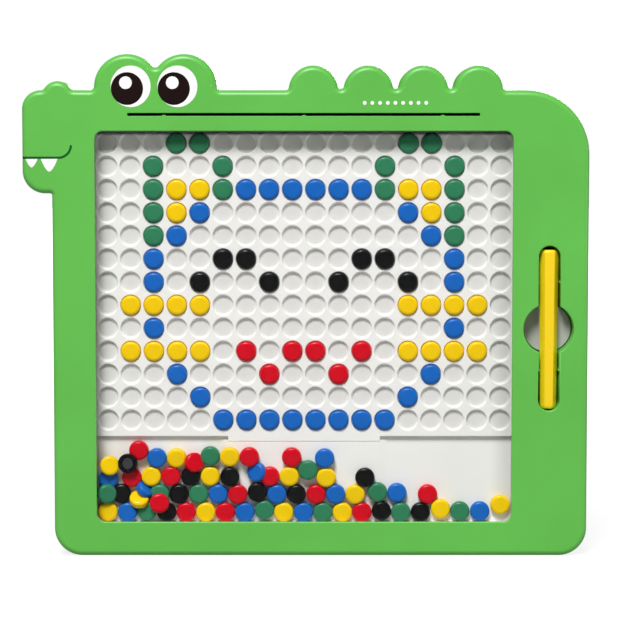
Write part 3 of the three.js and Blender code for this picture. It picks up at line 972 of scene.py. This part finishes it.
def rear_cover():
    """The cover, with the pad that closes the finger hole and a recess for each screw's head."""
    surface = Surface()
    clearance = HOUSING.width / 2 - COVER.width / 2
    back = depth_of(COVER.back)
    edge = rounded_profile(COVER_FRONT, back, 0.3, 0.5, 4)
    profile = [(clearance + inset, depth, tilt) for inset, depth, tilt in edge]
    cover_front, cover_back = surface.rings(body_loop(), profile)
    pad_edge = 0.5
    pad_bend = 0.3 * pad_edge
    pad = [
        (0, PAD_FRONT, FRONT),
        (PAD_R - pad_edge, PAD_FRONT, FRONT),
        (PAD_R - pad_bend, PAD_FRONT + pad_bend, 45),
        (PAD_R, PAD_FRONT + pad_edge, OUTWARD),
        (PAD_R, COVER_FRONT, OUTWARD),
    ]
    _, pad_root = surface.lathe(FINGER_X, FINGER_Z, pad, 64)
    surface.cap(cover_front, pad_root)
    dish = recess_profile(PAD_R - PAD_WALL, back, PAD_FRONT + PAD_WALL, 0.4, 0.5)
    rims = [surface.lathe(FINGER_X, FINGER_Z, dish, 64)[0]]
    seat = recess_profile(SEAT_R, back, back - SEAT_DEPTH, 0.3, 0.3)
    rims += [surface.lathe(screw.x, screw.z, seat, 32)[0] for screw in screw_boxes().values()]
    surface.cap(cover_back, *rims)
    obj = surface.build("white_rear_cover", WHITE_COVER)
    return finish_piece(obj, "root", "white_cover", "rear_cover")


def cross_ring(surface, screw, rim_r, turn, share, depth, inward, backward):
    """A ring round a screw's cross recess, shrunk to share; its normals lean inward and back."""
    count, waist, reach = 32, 0.34, 0.6
    ring = []
    for i in range(count):
        angle = FULL_TURN * (i + 0.5) / count
        lobe = abs(math.cos(2 * (angle + turn))) ** 6
        radius = rim_r * (waist + reach * lobe) * share
        c, s = math.cos(angle), math.sin(angle)
        x, z = screw.x + radius * c, screw.z + radius * s
        ring.append(surface.vertex(x, depth, z, (-c * inward, backward, -s * inward)))
    return ring


def cover_screws():
    """Pan-head screws with a cross recess, each turned to its own angle."""
    head_height, recess_depth, dome_steps = 1.28, 0.8, 6
    for name, screw in screw_boxes().items():
        surface = Surface()
        back = depth_of(screw.back)
        seat = back - head_height
        head, turn = screw.width / 2, RNG.uniform(0, QUARTER)
        profile = [(0, seat, FRONT), (head - 0.1, seat, FRONT), (head, seat + 0.15, OUTWARD)]
        for i in range(1, dome_steps):
            t = i / dome_steps
            height = 0.35 + 0.95 * math.sin(t * QUARTER)
            profile.append((head * math.cos(t * 1.1), seat + height, -90 * t))
        rim_r = head * 0.5
        profile.append((rim_r, back, BACK))
        _, rim = surface.lathe(screw.x, screw.z, profile, 32)
        mouth_ring = cross_ring(surface, screw, rim_r, turn, 1, back, 0, 1)
        foot = back - recess_depth
        foot_ring = cross_ring(surface, screw, rim_r, turn, 0.8, foot, 1, 0.3)
        surface.bridge(rim, mouth_ring)
        surface.bridge(mouth_ring, foot_ring)
        surface.cap(foot_ring)
        obj = surface.build(name.replace("cover", "rear"), ZINC)
        finish_piece(obj, "root", "screw_steel", name)


# ---- pen

def pen_section(radius, roundness):
    """A six-sided section with flats to the front and back, as (across, along) pairs.

    Its roundness blends it from a sharp hexagon, at 0, to a circle, at 1.
    """
    count, half_side, round_share = 48, math.pi / 6, 0.93
    section = []
    for i in range(count):
        angle = FULL_TURN * i / count
        sector = (angle + half_side) % (2 * half_side) - half_side
        flat = radius * math.cos(half_side) / math.cos(half_side - abs(sector))
        blended = flat * (1 - roundness) + radius * round_share * roundness
        section.append((blended * math.cos(angle), blended * math.sin(angle)))
    return section


def pen_piece(name, node, material, slot, points, faces, crease):
    """A piece of the pen, its edges sharp where they turn by more than crease degrees."""
    mesh = closed_mesh(name, points, faces, material)
    mesh.set_sharp_from_angle(angle=math.radians(crease))
    finish_piece(add_object(name, mesh), "pen", slot, node)


def level_circle(box, radius, height, count):
    """Points round the upright middle line of a CAD node's box."""
    middle = (box.front + box.back) / 2
    turns = [FULL_TURN * i / count for i in range(count)]
    return [(box.x + radius * math.cos(a), middle + radius * math.sin(a), height) for a in turns]


def pen_barrel():
    """A tapered six-sided barrel with soft ends and the bore for its magnet."""
    top_r, tip_r = PEN.width / 2, PEN_TIP_R
    middle = (PEN.front + PEN.back) / 2
    length = PEN.height - 0.6
    end, end_steps, body_steps = 2.2, 8, 12
    bore_r, bore_depth = 1.8, 7.4
    head = []
    for i in range(end_steps + 1):
        t = i / end_steps
        s, c = math.sin(t * QUARTER), math.cos(t * QUARTER)
        head.append((end * (1 - c), 0.72 + 0.28 * s, 0.75 - 0.55 * t))
    body = [(end + (length - 2 * end) * i / body_steps, 1.0, 0.2) for i in range(1, body_steps)]
    tail = [(length - height, share, roundness) for height, share, roundness in reversed(head)]
    sections = []
    for height, share, roundness in head + body + tail:
        radius = (tip_r + (top_r - tip_r) * height / length) * share
        sections.append([
            (PEN.x + across, middle + along, PEN.bottom + height)
            for across, along in pen_section(radius, roundness)
        ])
    count = len(sections[0])
    for height in (0, bore_depth):
        sections.insert(0, level_circle(PEN, bore_r, PEN.bottom + height, count))
    points = [point for section in sections for point in section]
    rings = [range(i, i + count) for i in range(0, len(points), count)]
    faces = [tuple(rings[0]), tuple(rings[-1])]
    for a, b in zip(rings, rings[1:]):
        faces += [(a[i], b[i], b[(i + 1) % count], a[(i + 1) % count]) for i in range(count)]
    pen_piece("pen_barrel_body", "pen_barrel", YELLOW_PEN, "yellow_pen", points, faces, 40)


def pen_insert(name, node, material, slot):
    """A short turned piece on the pen's axis, its edges chamfered."""
    box = Box(node)
    radius, chamfer, count = box.width / 2, 0.2, 32
    profile = [
        (radius - chamfer, box.bottom),
        (radius, box.bottom + chamfer),
        (radius, box.top - chamfer),
        (radius - chamfer, box.top),
    ]
    points = [point for r, height in profile for point in level_circle(box, r, height, count)]
    rings = [range(i, i + count) for i in range(0, len(points), count)]
    faces = [tuple(rings[0]), tuple(rings[-1])]
    for a, b in zip(rings, rings[1:]):
        faces += [(a[i], a[(i + 1) % count], b[(i + 1) % count], b[i]) for i in range(count)]
    pen_piece(name, node, material, slot, points, faces, 30)


# ---- beads

def bead_mesh():
    """A bead's cap about its own centre: a soft-edged disc, hollow at the back for its core."""
    surface = Surface()
    half = BEAD_THICKNESS / 2
    across, along = 1.7, 1.25
    profile = [(0, -half, FRONT)]
    steps = 8
    for i in range(steps + 1):
        angle = QUARTER * (1 - i / steps)
        c, s = math.cos(angle), math.sin(angle)
        tilt = math.degrees(math.atan2(s / along, c / across))
        profile.append((BEAD_R - across * (1 - c), -half + along * (1 - s), tilt))
    profile += [
        (BEAD_R, half - 0.25, OUTWARD),
        (BEAD_R - 0.07, half - 0.07, -45),
        (BEAD_R - 0.25, half, BACK),
        (CORE_R + CORE_GAP + 0.15, half, BACK),
        (CORE_R + CORE_GAP, half - 0.15, INWARD),
        (CORE_R + CORE_GAP, half - CORE_THICKNESS - CORE_GAP, INWARD),
        (0, half - CORE_THICKNESS - CORE_GAP, BACK),
    ]
    surface.lathe(0, 0, [(r, d - FACE_Y, t) for r, d, t in profile], 36)
    return surface


def core_mesh():
    surface = Surface()
    half = BEAD_THICKNESS / 2
    back, front, chamfer = half - 0.02, half - CORE_THICKNESS, 0.15
    profile = [(0, front, FRONT), (CORE_R, front, FRONT), (CORE_R, back - chamfer, OUTWARD),
               (CORE_R - chamfer, back, BACK), (0, back, BACK)]
    surface.lathe(0, 0, [(r, d - FACE_Y, t) for r, d, t in profile], 24)
    return surface


BEAD_SURFACE = bead_mesh()
CORE_SURFACE = core_mesh()
BEAD_MESHES = {}


def bead_object(name, surface, material):
    """A copy of the bead or core mesh, shared by all that have the same material."""
    key = (id(surface), material.name)
    if key not in BEAD_MESHES:
        first = surface.build(name, material)
        BEAD_MESHES[key] = first.data
        return first
    return add_object(name, BEAD_MESHES[key])


def place_bead(obj, x, z, back, turn):
    """Puts a bead's back at the depth back, turned about X, Y and Z by angles in degrees."""
    centre = Vector((x, back - BEAD_THICKNESS / 2 + FACE_Y, z)) * MM
    about_x, about_y, about_z = (math.radians(angle) for angle in turn)
    spin = Matrix.Rotation(about_z, 4, "Z") @ Matrix.Rotation(about_y, 4, "Y")
    obj.matrix_world = Matrix.Translation(centre) @ Matrix.Rotation(about_x, 4, "X") @ spin


def root_bead(name, letter):
    """A bead that the CAD part leaves to this script."""
    obj = bead_object(name, BEAD_SURFACE, BEAD_MATERIALS[letter])
    return finish_piece(obj, "root", f"bead_{BEAD_NAMES[letter]}")


def cad_beads():
    """The beads that the CAD part holds, each on its own body. Returns where they are."""
    letters = {"red": "r", "yellow": "y", "leaf": "g", "blue": "b", "black": "k"}
    places = []
    for body in sorted(b for b in frame["bodies"] if b.startswith("bead_")):
        box = Box(f"{body}_cap")
        letter = letters[body.split("_")[1]]
        overturned = body.endswith("overturned")
        back = depth_of(box.back)
        turn = (180, 0, 0) if overturned else (0, RNG.uniform(0, 360), 0)
        cap = bead_object(f"{body}_disc", BEAD_SURFACE, BEAD_MATERIALS[letter])
        core = bead_object(f"{body}_steel", CORE_SURFACE, STEEL)
        for piece in (cap, core):
            place_bead(piece, box.x, box.z, back, turn)
        finish_piece(cap, body, f"bead_{BEAD_NAMES[letter]}", f"{body}_cap")
        finish_piece(core, body, "steel", f"{body}_core")
        places.append((box.x, box.z, "front" if back < PANEL_FACE else "back"))
    return places


# The picture in the pits, one letter a pit: g green, y yellow, b blue, k black, r red.
PICTURE = """
...gg........gg...
..g..g......g..g..
..gyygbbbbbbgyyg..
..gyb........byg..
..gb..........bg..
..b..kk....kk..b..
..b.k..k..k..k.b..
.yyyy........yyyy.
..b............b..
.yyyy.r.rr.r.yyyy.
...b...r..r...b...
....b........b....
.....bbbbbbbb.....
""".split()


def picture_beads(taken):
    """The picture's beads that aren't CAD nodes, each dropped to the bottom of its pit."""
    slack = (PIT_R - BEAD_R - 0.1) * 0.5
    for row, letters in enumerate(PICTURE):
        for column, letter in enumerate(letters):
            x, z = pit_centre(column, row)
            if letter == "." or any(math.hypot(x - a, z - b) < PITCH / 2 for a, b, _ in taken):
                continue
            obj = root_bead(f"pit_bead_{BEAD_NAMES[letter]}_r{row + 1}_c{column + 1}", letter)
            x += slack * math.cos(RNG.uniform(0, FULL_TURN))
            spin = RNG.uniform(0, 360)
            place_bead(obj, x, z - slack, PIT_BEAD_BACK + PIT_BEAD_GAP, (0, spin, 0))


# The loose heap from the well's bottom upwards: first bead's x, height, spacing and letters.
HEAP = [
    (-95.2, 20.0, 9.6, "ybgkryrbgybgyr"),
    (39.3, 21.8, 9.5, "k"),
    (49.5, 20.0, 9.5, "gk"),
    (67.0, 22.8, 9.5, "y"),
    (-89.6, 28.5, 9.5, "k"),
    (-70.8, 28.5, 9.5, "gkgbrkbkrbygb"),
    (-95.2, 35.2, 9.5, "b"),
    (-84.0, 36.4, 9.5, "ryrkyk"),
    (-16.9, 36.8, 9.5, "ry"),
    (1.0, 40.5, 9.5, "g"),
    (9.9, 35.9, 9.5, "y"),
    (-72.5, 45.8, 9.5, "by"),
    (-46.0, 47.2, 9.2, "gyr"),
    (-7.1, 45.8, 9.5, "r"),
    (9.0, 45.8, 9.5, "b"),
    (-80.6, 49.9, 9.5, "r"),
]

# Beads that lie on top of the heap: x, height, letter, and how they are tipped about X and Z.
ON_TOP = [
    (-94.8, 42.9, "y", -6, 8),
    (-96.3, 29.0, "g", 4, 20),
    (-77.9, 30.9, "b", -64, 40),
    (-80.8, 26.4, "y", -46, 4),
    (-70.9, 24.6, "r", -5, 6),
    (-54.0, 44.3, "r", -10, 26),
    (-24.0, 39.6, "b", -6, -28),
]


def settle(places, fixed):
    """Pushes overlapping beads of one layer apart, and keeps them inside the well."""
    spacing, rounds = 2 * BEAD_R + 0.06, 400
    left = CHAMBER["left"] + BEAD_R
    right = CHAMBER["right"] - BEAD_R
    low = CHAMBER["bottom"] + BEAD_R
    high = PANEL_BOTTOM - BEAD_R - 0.2
    for _ in range(rounds):
        for i, a in enumerate(places):
            for b in places[i + 1:] + fixed:
                dx, dz = b[0] - a[0], b[1] - a[1]
                distance = math.hypot(dx, dz) or 0.01
                if distance >= spacing:
                    continue
                free = b not in fixed
                push = (spacing - distance) / distance * (0.5 if free else 1.0)
                a[0] -= dx * push
                a[1] -= dz * push
                if free:
                    b[0] += dx * push
                    b[1] += dz * push
            a[0] = min(max(a[0], left), right)
            a[1] = min(max(a[1], low), high)


def rise_under(x, z):
    """Where a bead's upper edge touches the well or its ramp: the surface's depth and its slope."""
    edge = z + BEAD_R * 0.9
    depths = [(WELL_FLOOR, 0.0), (WELL_FLOOR - WELL_SLOPE * (edge - WELL_FOOT), WELL_SLOPE)]
    if RAMP_LEFT - BEAD_R < x < RAMP_RIGHT + BEAD_R:
        depths.append((WELL_FLOOR - RAMP_SLOPE * (edge - RAMP_FOOT), RAMP_SLOPE))
    return min(depths)


def heap_beads(taken):
    """The beads that lie flat against the well's floor or its ramp, settled clear of each other."""
    fixed = [[x, z] for x, z, layer in taken if layer == "back" and z < PANEL_BOTTOM]
    jitter, wobble, lean_share, gap = 0.1, 1.5, 0.6, 0.25
    places, letters = [], []
    for start, z, spacing, row in HEAP:
        for i, letter in enumerate(row):
            x = start + spacing * i + RNG.uniform(-jitter, jitter)
            places.append([x, z + RNG.uniform(-jitter, jitter)])
            letters.append(letter)
    settle(places, fixed)
    for i, ((x, z), letter) in enumerate(zip(places, letters)):
        obj = root_bead(f"loose_bead_{BEAD_NAMES[letter]}_{i + 1}", letter)
        depth, rise = rise_under(x, z)
        lean = math.degrees(math.atan(rise)) * lean_share + RNG.uniform(-wobble, wobble)
        turn = (lean, RNG.uniform(0, 360), RNG.uniform(-wobble, wobble))
        place_bead(obj, x, z, depth - gap, turn)


def top_beads():
    """The tipped beads on the heap. They clear the pane, and those that stand steeply go deeper."""
    half, steep, steep_drop = BEAD_THICKNESS / 2, 0.5, 1.2
    for i, (x, z, letter, tip_x, tip_z) in enumerate(ON_TOP):
        obj = root_bead(f"top_bead_{BEAD_NAMES[letter]}_{i + 1}", letter)
        facing = math.cos(math.radians(tip_x)) * math.cos(math.radians(tip_z))
        reach = BEAD_R * math.sqrt(1 - facing ** 2) + half * facing
        behind_pane = depth_of(PANE.back) + 0.1 + reach + half
        if facing < steep:
            behind_pane += steep_drop
        place_bead(obj, x, z, max(FRONT_LAYER_BACK, behind_pane), (tip_x, 0, tip_z))


# ---- studio

AMBIENT_LIGHT, KEY_LIGHT, SIDE_LIGHT, BACK_LIGHT = 0.12, 148, 4, 36


WHITE = (1, 1, 1, 1)


def studio_paper():
    """White paper that glows more and more away from the middle, so no horizon shows."""
    material = bpy.data.materials.new("studio_paper")
    nodes = Nodes(material)
    nodes.shader.inputs["Base Color"].default_value = (0.4, 0.4, 0.4, 1)
    nodes.shader.inputs["Roughness"].default_value = 0.9
    nodes.shader.inputs["Specular IOR Level"].default_value = 0.1
    glow = nodes.add("Emission")
    glow.inputs["Strength"].default_value = 1.5
    distance = nodes.add("VectorMath")
    distance.operation = "LENGTH"
    nodes.link(nodes.add("TexCoord").outputs["Object"], distance.inputs[0])
    fade = nodes.map_range(distance.outputs["Value"], 0.15, 0.8, 0.55, 1.0)
    seen = nodes.add("Math")
    seen.operation = "MULTIPLY"
    nodes.link(fade.outputs["Result"], seen.inputs[0])
    nodes.link(nodes.add("LightPath").outputs["Is Camera Ray"], seen.inputs[1])
    nodes.mix_shaders(seen.outputs["Value"], nodes.shader.outputs["BSDF"], glow.outputs["Emission"])
    return material


def surround():
    """A dim ambient light, and plain white where the camera sees past the floor."""
    world = bpy.data.worlds.new("studio")
    bpy.context.scene.world = world
    nodes = Nodes(world)
    ambient = nodes.tree.nodes["Background"]
    ambient.inputs["Color"].default_value = WHITE
    ambient.inputs["Strength"].default_value = AMBIENT_LIGHT
    seen = nodes.add("Background")
    seen.inputs["Color"].default_value = WHITE
    camera_ray = nodes.add("LightPath").outputs["Is Camera Ray"]
    shaders = (ambient.outputs["Background"], seen.outputs["Background"])
    nodes.mix_shaders(camera_ray, *shaders, output="World Output")


def softbox(name, place, side, power):
    light = bpy.data.lights.new(name, "AREA")
    light.shape = "RECTANGLE"
    light.size = light.size_y = side
    light.energy = power
    obj = add_object(name, light)
    obj.location = place
    aim = Vector((0, 0, 0.12)) - Vector(place)
    obj.rotation_euler = aim.to_track_quat("-Z", "Y").to_euler()


def stage():
    """A pale floor, a plain white surround and soft lights from in front, one side and behind."""
    bpy.ops.mesh.primitive_plane_add(size=12, location=(0, 0, 0))
    floor = bpy.context.object
    floor.name = "studio_floor"
    floor.data.materials.append(studio_paper())
    surround()
    softbox("key_softbox", (-0.5, -2.3, 2.9), 1.1, KEY_LIGHT)
    softbox("side_strip", (1.6, -0.35, 0.2), 0.5, SIDE_LIGHT)
    softbox("back_softbox", (0.6, 2.4, 0.7), 0.9, BACK_LIGHT)


def camera():
    """A long lens a little above the board's middle, looking slightly down on it."""
    frame_width = 0.29866
    distance = 1.1
    elevation = math.radians(4.2)
    target = Vector((0.00313, FACE_Y * MM, 0.11752))
    data = bpy.data.cameras.new("studio_camera")
    data.sensor_width = 36
    data.lens = data.sensor_width * distance / frame_width
    data.clip_end = 50
    obj = add_object("studio_camera", data)
    obj.location = target + Vector((0, -math.cos(elevation), math.sin(elevation))) * distance
    obj.rotation_euler = (target - obj.location).to_track_quat("-Z", "Y").to_euler()
    bpy.context.scene.camera = obj


# ---- assembly

bpy.context.scene.view_settings.view_transform = "Standard"
camera()
stage()
front_housing()
eyes()
mouth()
dots()
window_pane()
bead_tray()
rear_cover()
cover_screws()
pen_barrel()
pen_insert("pen_magnet_rod", "pen_magnet", STEEL, "steel")
pen_insert("pen_end_plug", "pen_plug", YELLOW_PEN, "yellow_pen")
held = cad_beads()
picture_beads(held)
heap_beads(held)
top_beads()
